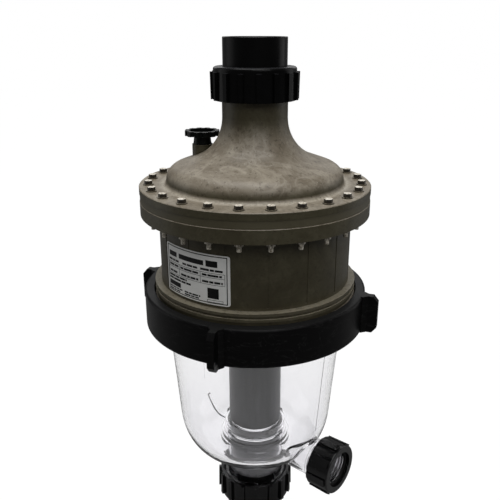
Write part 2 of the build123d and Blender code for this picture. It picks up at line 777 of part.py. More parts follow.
bleed_place = at_angle(bleed_angle, bleed_reach)
bleed_base = Plane(origin=(*bleed_place, bleed_boss_top))
with BuildPart() as lid:
    with BuildSketch(Plane.XZ):
        add(dome_outline(0))
        with Locations((flange_r / 2, vortex_plate_top + lid_flange_thick / 2)):
            Rectangle(flange_r, lid_flange_thick)
        with Locations((neck_r / 2, flare_top + neck_show / 2)):
            Rectangle(neck_r, neck_show)
        with Locations((union_thread_r / 2, outlet_thread_bottom + union_thread_length / 2)):
            Rectangle(union_thread_r, union_thread_length)
    revolve(axis=Axis.Z)
    circles = lid.edges().filter_by(GeomType.CIRCLE)
    flange_top_circles = circles.filter_by_position(Axis.Z, lid_flange_top - seat_gap, lid_flange_top + seat_gap)
    fillet(flange_top_circles.sort_by(SortBy.RADIUS)[0], radius=root_fillet)
    circles = lid.edges().filter_by(GeomType.CIRCLE)
    chamfer(circles.group_by(SortBy.RADIUS)[-1].sort_by(Axis.Z)[-1], length=flange_edge)
    with BuildSketch(bleed_base):
        Circle(bleed_boss_r)
    extrude(amount=lid_flange_top - bleed_boss_top)
    with BuildSketch(Plane.XZ):
        add(dome_outline(dome_wall))
    revolve(axis=Axis.Z, mode=Mode.SUBTRACT)
    with BuildSketch(Plane.XY.offset(outlet_face)):
        Circle(neck_bore_r)
    extrude(amount=shoulder_centre[1] - outlet_face, mode=Mode.SUBTRACT)
    with BuildSketch(bleed_base):
        Circle(bleed_bore_r)
    extrude(amount=-bleed_bore_depth, mode=Mode.SUBTRACT)
    with BuildSketch(bleed_base):
        Circle(bleed_vent_r)
    extrude(amount=lid_flange_top - bleed_boss_top, mode=Mode.SUBTRACT)
    with BuildSketch(Plane.XY.offset(vortex_plate_top)):
        with Locations(*flange_places()):
            Circle(bolt_hole_r)
    extrude(amount=lid_flange_thick, mode=Mode.SUBTRACT)
    with BuildSketch(Plane.XZ):
        with Locations((flange_seal_r, vortex_plate_top)):
            Rectangle(2 * flange_seal_section + 2 * fit_gap, 4 * flange_seal_section)
        with Locations((union_seal_r, outlet_face)):
            Rectangle(2 * union_seal_section + 2 * fit_gap, 4 * union_seal_section)
    revolve(axis=Axis.Z, mode=Mode.SUBTRACT)
lid.part.label = "lid"
export_step(lid.part, "parts/lid.step")
lid_seal_base = Plane.XY.offset(vortex_plate_top + flange_seal_section)
write(seal_ring(lid_seal_base, flange_seal_r, flange_seal_section), "lid_seal")

# Air bleed: a screw plug with a scalloped rim
stem_bottom = bleed_base.offset(seat_gap)
rim_bottom = stem_bottom.offset(bleed_stem_height)
bleed_seal_base = stem_bottom.offset(bleed_seal_rise - bleed_spigot_length)
bleed_seal_r = bleed_bore_r - seat_gap - bleed_seal_section
bleed_groove_depth = bleed_spigot_r - bleed_seal_r + bleed_seal_section + fit_gap
with BuildPart() as bleed_knob:
    with BuildSketch(section_of(stem_bottom)):
        with BuildLine():
            Polyline(
                (0, -bleed_spigot_length),
                (bleed_spigot_r, -bleed_spigot_length),
                (bleed_spigot_r, 0),
                (bleed_stem_r, 0),
                (bleed_stem_waist_r, bleed_stem_height),
                (bleed_rim_r, bleed_stem_height),
                (bleed_rim_r, bleed_stem_height + bleed_rim_height),
                (bleed_dish_r, bleed_stem_height + bleed_rim_height),
                (bleed_dish_r, bleed_stem_height + bleed_rim_height - bleed_dish_depth),
                (0, bleed_stem_height + bleed_rim_height - bleed_dish_depth),
                close=True,
            )
        make_face()
    revolve(axis=Axis(stem_bottom.origin, stem_bottom.z_dir))
    with BuildSketch(rim_bottom):
        with PolarLocations(bleed_rim_r, bleed_scallops):
            Circle(bleed_scallop_r)
    extrude(amount=bleed_rim_height, mode=Mode.SUBTRACT)
    with BuildSketch(section_of(bleed_seal_base)):
        with Locations((bleed_spigot_r, 0)):
            Rectangle(2 * bleed_groove_depth, 2 * bleed_seal_section + 2 * fit_gap)
    revolve(axis=Axis(stem_bottom.origin, stem_bottom.z_dir), mode=Mode.SUBTRACT)
bleed_knob.part.label = "bleed_knob"
export_step(bleed_knob.part, "parts/bleed_knob.step")
write(seal_ring(bleed_seal_base, bleed_seal_r, bleed_seal_section), "bleed_seal")

# Fasteners round the flange, from the heads down to the nuts
head_under = lid_flange_top + washer_thick
with BuildPart() as flange_bolts:
    with BuildSketch(Plane.XY.offset(head_under)):
        with Locations(*flange_places()):
            RegularPolygon(radius=head_across / 2, side_count=6, major_radius=False)
    extrude(amount=head_height)
    with BuildSketch(Plane.XY.offset(head_under)):
        with Locations(*flange_places()):
            Circle(bolt_r)
    extrude(amount=-bolt_length)
flange_bolts.part.label = "flange_bolts"
export_step(flange_bolts.part, "parts/flange_bolts.step")

nut_top = housing_flange_under - washer_thick
upper = ("upper_washers", lid_flange_top, upper_washer_r)
lower = ("lower_washers", nut_top, lower_washer_r)
for name, height, outside_r in (upper, lower):
    with BuildPart() as washers:
        with BuildSketch(Plane.XY.offset(height)):
            with Locations(*flange_places()):
                Circle(outside_r)
                Circle(bolt_hole_r, mode=Mode.SUBTRACT)
        extrude(amount=washer_thick)
    write(washers.part, name)

with BuildPart() as flange_nuts:
    with BuildSketch(Plane.XY.offset(nut_top)):
        with Locations(*flange_places()):
            RegularPolygon(radius=head_across / 2, side_count=6, major_radius=False)
            Circle(bolt_r + grip_gap, mode=Mode.SUBTRACT)
    extrude(amount=-nut_height)
flange_nuts.part.label = "flange_nuts"
export_step(flange_nuts.part, "parts/flange_nuts.step")

# Rating label, wrapped on the housing
label_bottom = bead_top + label_rise
label_height = housing_flange_under - label_drop - label_bottom
label_middle = label_bottom + label_height / 2
label_out = (*at_angle(label_middle_angle, 1), 0)
label_side = (*at_angle(label_middle_angle + 90, 1), 0)
with BuildPart() as rating_label:
    with BuildSketch(Plane.XY.offset(label_bottom)):
        Circle(housing_r + label_adhesive + label_thick)
        Circle(housing_r + label_adhesive, mode=Mode.SUBTRACT)
    extrude(amount=label_height)
    with BuildSketch(Plane(origin=(0, 0, label_middle), x_dir=label_side, z_dir=label_out)):
        RectangleRounded(label_width, label_height, label_corner)
    extrude(amount=flange_r, mode=Mode.INTERSECT)
rating_label.part.label = "rating_label"
export_step(rating_label.part, "parts/rating_label.step")
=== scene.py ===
import json
from itertools import cycle
from math import cos, radians, sin, tau

import bmesh
import bpy
from mathutils import Matrix, Vector


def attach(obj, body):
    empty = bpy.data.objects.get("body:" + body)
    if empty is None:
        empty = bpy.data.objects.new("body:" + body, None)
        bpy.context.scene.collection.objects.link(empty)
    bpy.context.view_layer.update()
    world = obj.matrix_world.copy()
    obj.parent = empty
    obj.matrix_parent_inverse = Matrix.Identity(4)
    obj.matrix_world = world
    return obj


# Centrifugal filter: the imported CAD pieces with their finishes, the screw threads on their lands,
# the clear bowl's two mould lines and the printed fields of the rating label. The scene is in
# metres, +Z up, -Y to the front. Threads, mould lines and label are stated in millimetres.

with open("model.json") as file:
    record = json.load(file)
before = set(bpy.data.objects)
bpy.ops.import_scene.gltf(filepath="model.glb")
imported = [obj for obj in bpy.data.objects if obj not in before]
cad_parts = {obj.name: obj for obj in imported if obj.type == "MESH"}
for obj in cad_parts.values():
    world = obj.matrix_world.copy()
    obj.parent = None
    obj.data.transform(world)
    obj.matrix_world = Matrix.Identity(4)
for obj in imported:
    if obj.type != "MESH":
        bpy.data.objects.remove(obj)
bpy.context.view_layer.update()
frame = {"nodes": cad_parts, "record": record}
nodes = frame["nodes"]

MM = 0.001
SMOOTH_UNDER = radians(32)

# Colour sockets of the Mix node
MIX_FIRST = 6
MIX_SECOND = 7
MIX_RESULT = 2


# ---------------------------------------------------------------- shader helpers
class Finish:
    """A material, or a world, whose nodes are added one after another."""

    def __init__(self, name, kind=bpy.data.materials, output="ShaderNodeOutputMaterial"):
        self.material = kind.new(name)
        self.material.use_nodes = True
        self.tree = self.material.node_tree
        self.tree.nodes.clear()
        self.output = self.add(output)

    def add(self, kind, **values):
        node = self.tree.nodes.new(kind)
        for key, value in values.items():
            setattr(node, key, value)
        return node

    def link(self, start, end):
        self.tree.links.new(start, end)

    def place(self, stretch=(1, 1, 1)):
        """Coordinates in metres of the shared frame, stretched along its axes."""
        coordinates = self.add("ShaderNodeTexCoord")
        mapping = self.add("ShaderNodeMapping")
        mapping.inputs["Scale"].default_value = stretch
        self.link(coordinates.outputs["Object"], mapping.inputs["Vector"])
        return mapping.outputs["Vector"]

    def upright(self, vector):
        """Z part of a vector."""
        parts = self.add("ShaderNodeSeparateXYZ")
        self.link(vector, parts.inputs[0])
        return parts.outputs["Z"]

    def outward(self, vector):
        """Distance of a place from the upright axis."""
        flat = self.add("ShaderNodeVectorMath", operation="MULTIPLY")
        self.link(vector, flat.inputs[0])
        flat.inputs[1].default_value = (1, 1, 0)
        length = self.add("ShaderNodeVectorMath", operation="LENGTH")
        self.link(flat.outputs["Vector"], length.inputs[0])
        return length.outputs["Value"]

    def upward(self, low, high):
        """0 to 1 as a face turns from the side to the top, between two values of its normal's Z."""
        facing = self.add("ShaderNodeNewGeometry")
        return self.span(self.upright(facing.outputs["Normal"]), low, high, 0, 1)

    def noise(self, scale, detail=3.0, distortion=0.0, roughness=0.5, stretch=(1, 1, 1)):
        node = self.add("ShaderNodeTexNoise")
        node.inputs["Scale"].default_value = scale
        node.inputs["Detail"].default_value = detail
        node.inputs["Distortion"].default_value = distortion
        node.inputs["Roughness"].default_value = roughness
        self.link(self.place(stretch), node.inputs["Vector"])
        return node.outputs["Fac"]

    def span(self, value, low, high, to_low, to_high):
        """The range from low to high turned into another one, and held at both ends."""
        node = self.add("ShaderNodeMapRange")
        limits = {"From Min": low, "From Max": high, "To Min": to_low, "To Max": to_high}
        for socket, number in limits.items():
            node.inputs[socket].default_value = number
        self.link(value, node.inputs["Value"])
        return node.outputs["Result"]

    def math(self, operation, first, second=0):
        node = self.add("ShaderNodeMath", operation=operation)
        for socket, value in zip(node.inputs, (first, second)):
            if isinstance(value, (int, float)):
                socket.default_value = value
            else:
                self.link(value, socket)
        return node.outputs[0]

    def line(self, value, level, width, strength):
        """Strength where the value is at a level, and 0 a width away from it: thin lines."""
        away = self.math("ABSOLUTE", self.math("SUBTRACT", value, level))
        return self.span(away, 0, width, strength, 0)

    def mix(self, factor, first, second):
        """Mix of two colours."""
        node = self.add("ShaderNodeMix", data_type="RGBA")
        for number, colour in ((MIX_FIRST, first), (MIX_SECOND, second)):
            if isinstance(colour, tuple):
                node.inputs[number].default_value = (*colour, 1)
            else:
                self.link(colour, node.inputs[number])
        self.link(factor, node.inputs[0])
        return node.outputs[MIX_RESULT]

    def grade(self, value, low, high, first, second, most=1):
        """First colour below low, turning into the second, or most of it, at high and above."""
        return self.mix(self.span(value, low, high, 0, most), first, second)

    def blend(self, factor, first, second):
        """Mix of two shaders."""
        node = self.add("ShaderNodeMixShader")
        for socket, value in zip(node.inputs, (factor, first, second)):
            self.link(value, socket)
        return node.outputs["Shader"]

    def bump(self, height, depth_mm, before=None):
        node = self.add("ShaderNodeBump")
        node.inputs["Strength"].default_value = 1.0
        node.inputs["Distance"].default_value = depth_mm * MM
        self.link(height, node.inputs["Height"])
        if before is not None:
            self.link(before, node.inputs["Normal"])
        return node.outputs["Normal"]

    def surface(self, colour, roughness, normal=None, **constants):
        node = self.add("ShaderNodeBsdfPrincipled")
        self.link(colour, node.inputs["Base Color"])
        if isinstance(roughness, float):
            node.inputs["Roughness"].default_value = roughness
        else:
            self.link(roughness, node.inputs["Roughness"])
        if normal is not None:
            self.link(normal, node.inputs["Normal"])
        for socket, value in constants.items():
            node.inputs[socket.replace("_", " ")].default_value = value
        return node.outputs["BSDF"]

    def done(self, shader):
        self.link(shader, self.output.inputs["Surface"])
        return self.material


def srgb(red, green, blue):
    """Linear colour of an 8-bit one."""
    channels = (red / 255, green / 255, blue / 255)
    return tuple(c / 12.92 if c <= 0.04045 else ((c + 0.055) / 1.055) ** 2.4 for c in channels)


# ---------------------------------------------------------------- finishes
# Places in metres that a finish follows
BEADS_HEIGHT = 0.3505
BEADS_REACH = 0.009
DOME_FOOT_RADIUS = 0.1072
DOME_FOOT_REACH = 0.006
BOWL_THICK_BELOW = 0.12
BOWL_THIN_ABOVE = 0.25
UNDER_FLANGE = 0.44
OVER_FLANGE = 0.45


def moulded(
    name,
    colour,
    pale,
    roughness,
    grain,
    depth_mm,
    specular,
    patch_scale=14.0,
    top=None,
    scuffs=0.0,
):
    """Moulded plastic with a fine grain, soft pale patches and an uneven gloss.

    Where they are given, scuffs wander over it, and what faces up takes the top's colour, a painted
    highlight.
    """
    finish = Finish(name)
    patches = finish.noise(patch_scale, detail=6, distortion=0.8, roughness=0.62)
    grains = finish.noise(grain, detail=2)
    tone = finish.grade(patches, 0.38, 0.72, colour, pale)
    if scuffs:
        rubs = finish.noise(22.0, detail=4, distortion=1.2, roughness=0.6, stretch=(1, 1, 2.2))
        tone = finish.mix(finish.line(rubs, 0.52, 0.012, scuffs), tone, srgb(74, 74, 74))
    # Painted highlight: what faces up takes the top's paler colour
    if top is not None:
        tone = finish.mix(finish.upward(0.8, 1), tone, top)
    gloss = finish.span(patches, 0.3, 0.7, roughness - 0.06, roughness + 0.07)
    normal = finish.bump(grains, depth_mm)
    return finish.done(finish.surface(tone, gloss, normal, Specular_IOR_Level=specular))


def taupe_moulding():
    """Warm dark moulding of the lid and the housing, with flow marks and a sandy grain.

    It is pale with dust and painted top light on what faces up, with dust and a painted highlight
    round the dome's foot, and painted pale as a highlight on the beads' crests. Its flow marks are
    partly a painted sheen.
    """
    finish = Finish("taupe_moulding")
    flow = finish.noise(9.0, detail=7, distortion=2.6, roughness=0.66, stretch=(1, 1, 1.6))
    dust = finish.noise(34.0, detail=8, distortion=0.5, roughness=0.8)
    grains = finish.noise(1500.0, detail=2)
    sand = finish.noise(230.0, detail=4, roughness=0.75)
    veins = finish.noise(6.5, detail=2, distortion=1.6, stretch=(1, 1, 0.7))
    swirls = finish.noise(16.0, detail=3, distortion=1.7, stretch=(1, 1, 0.8))
    patches = finish.noise(10.0, detail=2)
    specks = finish.noise(420.0, detail=3, roughness=0.7)
    upward = finish.upward(0.02, 0.5)

    # Painted shade on the clean sides, dust and painted top light on what faces up, and paler
    # patches on both
    clean_shaded_sides = finish.grade(flow, 0.36, 0.68, srgb(61, 56, 40), srgb(75, 71, 54))
    dust_and_top_light = finish.grade(flow, 0.36, 0.66, srgb(100, 91, 77), srgb(125, 117, 103))
    pale = finish.mix(upward, srgb(90, 85, 68), srgb(158, 151, 137))
    base = finish.mix(upward, clean_shaded_sides, dust_and_top_light)
    dusty = finish.grade(dust, 0.5, 0.72, base, pale, most=0.7)
    veined = finish.mix(finish.line(veins, 0.5, 0.0016, 0.3), dusty, pale)

    # Flow marks, partly a painted sheen, and pale specks on what faces up
    bands = finish.line(swirls, 0.5, 0.07, 0.26)
    bands_here = finish.math("MULTIPLY", bands, finish.span(patches, 0.45, 0.62, 0, 1))
    streaks = finish.math("MAXIMUM", bands_here, finish.span(specks, 0.6, 0.7, 0, 0.4))
    with_marks_and_sheen = finish.mix(finish.math("MULTIPLY", streaks, upward), veined, srgb(172, 165, 150))

    # Painted highlight on the crests of the housing's beads
    beads = finish.line(finish.upright(finish.place()), BEADS_HEIGHT, BEADS_REACH, 2.2)
    crests = finish.math("MULTIPLY", finish.math("MINIMUM", beads, 1), finish.upward(-0.1, 0.4))
    with_crest_highlight = finish.mix(finish.math("MULTIPLY", crests, 0.7), with_marks_and_sheen, srgb(150, 143, 124))

    # Dust swept against the foot of the dome, with a painted highlight on it
    foot = finish.line(finish.outward(finish.place()), DOME_FOOT_RADIUS, DOME_FOOT_REACH, 1.5)
    foot_top = finish.math("MULTIPLY", foot, finish.upward(0.3, 0.8))
    foot_dust_and_highlight = finish.math("MULTIPLY", foot_top, finish.span(sand, 0.4, 0.56, 0.06, 0.34))
    with_foot_dust_and_highlight = finish.mix(foot_dust_and_highlight, with_crest_highlight, srgb(190, 183, 168))

    tone = finish.grade(sand, 0.54, 0.68, with_foot_dust_and_highlight, srgb(56, 48, 36), most=0.7)
    gloss = finish.span(dust, 0.3, 0.7, 0.36, 0.54)
    normal = finish.bump(grains, 0.03, finish.bump(sand, 0.14))
    return finish.done(finish.surface(tone, gloss, normal, Specular_IOR_Level=0.28))


def clear_moulding():
    """Clear polished plastic of the bowl, faintly wavy, and a little darker in its thick foot."""
    finish = Finish("clear_moulding")
    waves = finish.noise(26.0, detail=2, distortion=0.4)
    height = finish.upright(finish.place())
    thick, thin = (0.868, 0.864, 0.884), (0.953, 0.952, 0.957)
    glass = finish.surface(
        finish.grade(height, BOWL_THICK_BELOW, BOWL_THIN_ABOVE, thick, thin),
        0.015,
        finish.bump(waves, 0.12),
        Transmission_Weight=1.0,
        IOR=1.47,
        Specular_IOR_Level=0.22,
    )
    through = finish.add("ShaderNodeBsdfTransparent")
    through.inputs["Color"].default_value = (0.93, 0.93, 0.94, 1)
    rays = finish.add("ShaderNodeLightPath")
    return finish.done(finish.blend(rays.outputs["Is Shadow Ray"], glass, through.outputs["BSDF"]))


def pipe_grey():
    """Grey extruded pipe with faint drawn streaks along it and a few pale specks."""
    finish = Finish("pipe_grey")
    streaks = finish.noise(160.0, detail=3, stretch=(1, 1, 0.03))
    specks = finish.noise(700.0, detail=1)
    drawn = finish.grade(streaks, 0.35, 0.65, srgb(74, 74, 75), srgb(82, 82, 83))
    tone = finish.grade(specks, 0.74, 0.78, drawn, srgb(150, 150, 150), most=0.6)
    gloss = finish.span(streaks, 0.3, 0.7, 0.4, 0.5)
    normal = finish.bump(streaks, 0.03)
    return finish.done(finish.surface(tone, gloss, normal, Specular_IOR_Level=0.35))


def zinc_steel(name, top, tarnished_top, side, tarnished_side):
    """Zinc-plated steel, bright on top, dark at the sides and unevenly tarnished.

    Its bright top and dark sides are painted highlight and painted shade, and under the flange its
    sides are painted bright, as if lit.
    """
    finish = Finish(name)
    spots = finish.noise(420.0, detail=4, roughness=0.7)
    scratches = finish.noise(900.0, detail=3, stretch=(1, 1, 0.25))
    tarnish = finish.span(spots, 0.42, 0.62, 0, 1)
    height = finish.upright(finish.place())
    # Painted light: sides under the flange are bright, sides above it dark as painted shade
    lit_low_sides = finish.mix(tarnish, srgb(236, 229, 213), srgb(112, 102, 84))
    shaded_high_sides = finish.mix(tarnish, side, tarnished_side)
    sides = finish.grade(height, UNDER_FLANGE, OVER_FLANGE, lit_low_sides, shaded_high_sides)
    # Painted highlight on what faces up
    lit_tops = finish.mix(tarnish, top, tarnished_top)
    tone = finish.mix(finish.upward(0.3, 0.8), sides, lit_tops)
    gloss = finish.span(spots, 0.3, 0.7, 0.34, 0.5)
    normal = finish.bump(scratches, 0.03)
    return finish.done(finish.surface(tone, gloss, normal, Metallic=0.15))


def seal_rubber():
    """Matt black rubber with a fine bloom."""
    finish = Finish("seal_rubber")
    bloom = finish.noise(320.0, detail=5, roughness=0.7)
    tone = finish.grade(bloom, 0.45, 0.75, srgb(15, 15, 15), srgb(38, 38, 38))
    return finish.done(finish.surface(tone, 0.7, finish.bump(bloom, 0.04), Specular_IOR_Level=0.3))


def label_foil():
    """Silver foil of the rating label, brushed across."""
    finish = Finish("label_foil")
    brushing = finish.noise(900.0, detail=3, stretch=(0.12, 0.12, 1))
    patches = finish.noise(34.0, detail=4)
    tone = finish.grade(patches, 0.35, 0.7, srgb(250, 250, 247), srgb(234, 234, 231))
    gloss = finish.span(brushing, 0.3, 0.7, 0.32, 0.48)
    return finish.done(finish.surface(tone, gloss, finish.bump(brushing, 0.01), Metallic=0.05))


def label_ink():
    """Dull black print, worn in places."""
    finish = Finish("label_ink")
    wear = finish.noise(500.0, detail=3)
    tone = finish.grade(wear, 0.55, 0.8, srgb(9, 9, 9), srgb(34, 34, 34))
    gloss = finish.span(wear, 0.3, 0.7, 0.5, 0.62)
    return finish.done(finish.surface(tone, gloss, Specular_IOR_Level=0.2))


finishes = {
    "housing_black": taupe_moulding(),
    "ring_black": moulded(
        "ring_black",
        srgb(8, 8, 8),
        srgb(13, 12, 13),
        roughness=0.36,
        grain=900.0,
        depth_mm=0.02,
        specular=0.08,
        patch_scale=10.0,
        # painted highlight on the ring's top faces
        top=srgb(30, 30, 30),
        scuffs=0.18,
    ),
    "nut_black": moulded(
        "nut_black",
        srgb(7, 7, 7),
        srgb(12, 12, 13),
        roughness=0.26,
        grain=1400.0,
        depth_mm=0.012,
        specular=0.08,
        patch_scale=16.0,
        # painted highlight on the nuts' top faces and rib tops
        top=srgb(44, 44, 46),
    ),
    "tail_black": moulded(
        "tail_black",
        srgb(6, 6, 6),
        srgb(10, 11, 11),
        roughness=0.3,
        grain=1400.0,
        depth_mm=0.012,
        specular=0.09,
        patch_scale=12.0,
    ),
    "bowl_clear": clear_moulding(),
    "riser_grey": pipe_grey(),
    "plate_black": moulded(
        "plate_black",
        srgb(74, 69, 52),
        srgb(88, 83, 66),
        roughness=0.5,
        grain=1200.0,
        depth_mm=0.04,
        specular=0.3,
    ),
    "cyclone_black": moulded(
        "cyclone_black",
        srgb(17, 17, 17),
        srgb(27, 27, 27),
        roughness=0.45,
        grain=1100.0,
        depth_mm=0.03,
        specular=0.35,
    ),
    "knob_black": moulded(
        "knob_black",
        srgb(6, 8, 7),
        srgb(12, 14, 13),
        roughness=0.28,
        grain=1300.0,
        depth_mm=0.02,
        specular=0.12,
    ),
    "seal_rubber": seal_rubber(),
    "fastener_steel": zinc_steel(
        "fastener_steel",
        # painted highlight on the tops and painted shade on the sides
        top=srgb(226, 220, 208),
        tarnished_top=srgb(140, 129, 108),
        side=srgb(46, 40, 31),
        tarnished_side=srgb(22, 19, 15),
    ),
    "label_face": label_foil(),
}
ink = label_ink()
# Darker steel for the upper washers, with the same painted highlight on top and painted shade on
# the sides
washer_steel = zinc_steel(
    "washer_steel",
    top=srgb(112, 104, 88),
    tarnished_top=srgb(62, 55, 43),
    side=srgb(62, 55, 43),
    tarnished_side=srgb(34, 29, 22),
)
polished_nut = moulded(
    "polished_nut",
    srgb(6, 6, 6),
    srgb(10, 10, 11),
    roughness=0.17,
    grain=1400.0,
    depth_mm=0.01,
    specular=0.4,
    patch_scale=16.0,
)
# Nodes that look different from the rest of their slot
own_finishes = {
    "upper_washers": washer_steel,
    "drain_union_nut": polished_nut,
    "inlet_union_nut": polished_nut,
}


def smooth(mesh):
    """Round faces shaded smooth, with the edges between them kept sharp."""
    mesh.shade_smooth()
    mesh.set_sharp_from_angle(angle=SMOOTH_UNDER)


def dress(piece, material):
    """The whole piece in one material."""
    piece.data.materials.clear()
    piece.data.materials.append(material)
    for polygon in piece.data.polygons:
        polygon.material_index = 0


for entry in frame["record"]["subparts"]:
    piece = nodes[entry["node"]]
    dress(piece, own_finishes.get(entry["node"], finishes[entry["material_slot"]]))
    smooth(piece.data)


# ---------------------------------------------------------------- added pieces
def new_piece(name, vertices, faces, body, slot, material=None):
    """A closed mesh in metres that rides on a body and takes a slot's finish."""
    mesh = bpy.data.meshes.new(name)
    mesh.from_pydata(vertices, [], faces)
    work = bmesh.new()
    work.from_mesh(mesh)
    bmesh.ops.recalc_face_normals(work, faces=work.faces)
    work.to_mesh(mesh)
    work.free()
    piece = bpy.data.objects.new(name, mesh)
    bpy.context.scene.collection.objects.link(piece)
    dress(piece, material or finishes[slot])
    smooth(mesh)
    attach(piece, body)


def around(radius, angle, height):
    """A place by its distance from the upright axis, its angle from the front towards +X, and Z."""
    return Vector((radius * sin(angle), -radius * cos(angle), height))


def bar_faces(first, steps):
    """Faces of a closed bar that has four corners at each end of each step."""
    last = first + 4 * steps
    faces = [
        tuple(first + corner for corner in (0, 1, 2, 3)),
        tuple(last + corner for corner in (3, 2, 1, 0)),
    ]
    for here in range(first, last, 4):
        for corner in range(4):
            after = (corner + 1) % 4
            faces.append((here + corner, here + after, here + 4 + after, here + 4 + corner))
    return faces


# ---------------------------------------------------------------- screw threads
# A ridge's half widths in pitches, the sink of its foot into the land in millimetres, the share of
# its height that is left at its ends, the turns over which they taper, and its fewest steps
ROOT_HALF = 0.23
CREST_HALF = 0.1
ROOT_SINK = 0.06
LEAST_RISE = 0.02
TAPER_TURNS = 0.3
FEWEST_STEPS = 8

UPRIGHT = Matrix.Identity(4)
DRAIN_DEGREES = 50.3
DRAIN_HEIGHT = 128.0
BLEED_ANGLE = radians(-110.0)
BLEED_RADIUS = 66.5
drain_out = around(1, radians(DRAIN_DEGREES), 0)
drain_turn = drain_out.to_track_quat("Z", "X").to_matrix().to_4x4()
drain_frame = Matrix.Translation(Vector((0, 0, DRAIN_HEIGHT))) @ drain_turn
bleed_frame = Matrix.Translation(around(BLEED_RADIUS, BLEED_ANGLE, 0))


def thread(name, body, slot, lands, ends, pitch, level=None, place=UPRIGHT, steps=72):
    """Right-handed ridge wound round the place's Z axis, tapering to nothing at both ends.

    Lands are the ridge's root and crest radius. The helix passes the place's X axis at the level,
    and without a level it starts there. A thread and its mate have levels half a pitch apart, so
    each ridge lies between the other's.
    """
    root_r, crest_r = lands
    low, high = ends
    root_half = pitch * ROOT_HALF
    crest_half = pitch * CREST_HALF
    foot_r = root_r - ROOT_SINK if crest_r > root_r else root_r + ROOT_SINK
    phase = 0.0 if level is None else tau * (low + root_half - level) / pitch
    turns = (high - low - 2 * root_half) / pitch
    count = max(FEWEST_STEPS, int(turns * steps))
    vertices = []
    for number in range(count + 1):
        turned = turns * (number / count)
        rise = max(LEAST_RISE, min(1.0, turned / TAPER_TURNS, (turns - turned) / TAPER_TURNS))
        top_r = root_r + (crest_r - root_r) * rise
        angle = tau * turned + phase
        middle = low + root_half + pitch * turned
        profile = (
            (foot_r, -root_half),
            (top_r, -crest_half),
            (top_r, crest_half),
            (foot_r, root_half),
        )
        for radius, offset in profile:
            point = Vector((radius * cos(angle), radius * sin(angle), middle + offset))
            vertices.append((place @ point) * MM)
    new_piece(name, vertices, bar_faces(0, count), body, slot)


RING_PITCH = 8.0
UNION_PITCH = 4.0
BLEED_PITCH = 1.5
DRAIN_STEPS = 56
BLEED_STEPS = 36

# Root and crest radius of the unions' threads
STUB_LANDS = (40.0, 41.9)
NUT_LANDS = (42.15, 40.3)

OVERALL_HEIGHT = 632.0257
UNION_FACE = 43.6
UNION_THREAD_LENGTH = 21.0
OUTLET_FACE = OVERALL_HEIGHT - UNION_FACE
OUTLET_LOW = OUTLET_FACE - UNION_THREAD_LENGTH + 0.6

thread("housing_thread", "housing_group", "housing_black", (120.6, 122.5), (315.0, 344.6),
       RING_PITCH, 300.0)
thread("lock_ring_thread", "ring", "ring_black", (123.0, 121.1), (315.5, 341.5),
       RING_PITCH, 304.0)
thread("inlet_stub_thread", "bowl_group", "bowl_clear", STUB_LANDS, (44.2, 64.0),
       UNION_PITCH, 40.0)
thread("inlet_nut_thread", "inlet_nut", "nut_black", NUT_LANDS, (45.0, 64.8),
       UNION_PITCH, 42.0)
thread("outlet_neck_thread", "housing_group", "housing_black", STUB_LANDS,
       (OUTLET_LOW, OUTLET_FACE - 0.4), UNION_PITCH, 560.0)
thread("outlet_nut_thread", "outlet_nut", "nut_black", NUT_LANDS,
       (OUTLET_LOW - 0.4, OUTLET_FACE - 1.4), UNION_PITCH, 562.0)
thread("drain_stub_thread", "bowl_group", "bowl_clear", (24.6, 26.45), (104.8, 127.4),
       UNION_PITCH, 100.0, drain_frame, DRAIN_STEPS)
thread("drain_nut_thread", "drain_nut", "nut_black", (26.75, 24.9), (108.2, 129.6),
       UNION_PITCH, 102.0, drain_frame, DRAIN_STEPS)
thread("bleed_thread", "bleed_screw", "knob_black", (5.8, 6.12), (506.6, 511.1),
       BLEED_PITCH, None, bleed_frame, BLEED_STEPS)


# ---------------------------------------------------------------- mould lines of the bowl
# Radius and height at the foot and at the top of the bowl's drafted wall
WALL_FOOT = (98.0, 167.0)
WALL_TOP = (109.3, 304.3)
MOULD_LINE_ENDS = (168.0, 303.6)
MOULD_LINE_STEPS = 24
# Section of the bead: across the wall, and proud of it
MOULD_LINE_PROFILE = ((-0.5, -0.1), (-0.2, 0.4), (0.2, 0.4), (0.5, -0.1))


def bowl_wall_radius(height):
    """Outside radius of the bowl's drafted wall at a height."""
    foot_r, foot_z = WALL_FOOT
    top_r, top_z = WALL_TOP
    return foot_r + (top_r - foot_r) * (height - foot_z) / (top_z - foot_z)


def mould_line(name, degrees):
    """Fine upright bead on the bowl's wall, in the plane where its mould parts."""
    angle = radians(degrees)
    out = around(1, angle, 0)
    side = Vector((cos(angle), sin(angle), 0))
    low, high = MOULD_LINE_ENDS
    vertices = []
    for step in range(MOULD_LINE_STEPS + 1):
        height = low + (high - low) * step / MOULD_LINE_STEPS
        radius = bowl_wall_radius(height)
        for across, proud in MOULD_LINE_PROFILE:
            point = out * (radius + proud) + side * across + Vector((0, 0, height))
            vertices.append(point * MM)
    new_piece(name, vertices, bar_faces(0, MOULD_LINE_STEPS), "bowl_group", "bowl_clear")


mould_line("mould_line_right", DRAIN_DEGREES)
mould_line("mould_line_left", DRAIN_DEGREES + 180)


# ---------------------------------------------------------------- rating label
LABEL_RADIUS = 114.7
LABEL_ANGLE = radians(-36.2)
LABEL_MIDDLE = 388.05
PRINT_LIFT = 0.03
PRINT_THICK = 0.06
PRINT_STEP = 2.5
FRAME_WIDTH = 1.0
RULE_WIDTH = 0.4
SHORTEST_WORD = 1.5
WORD_GAP = 1.0


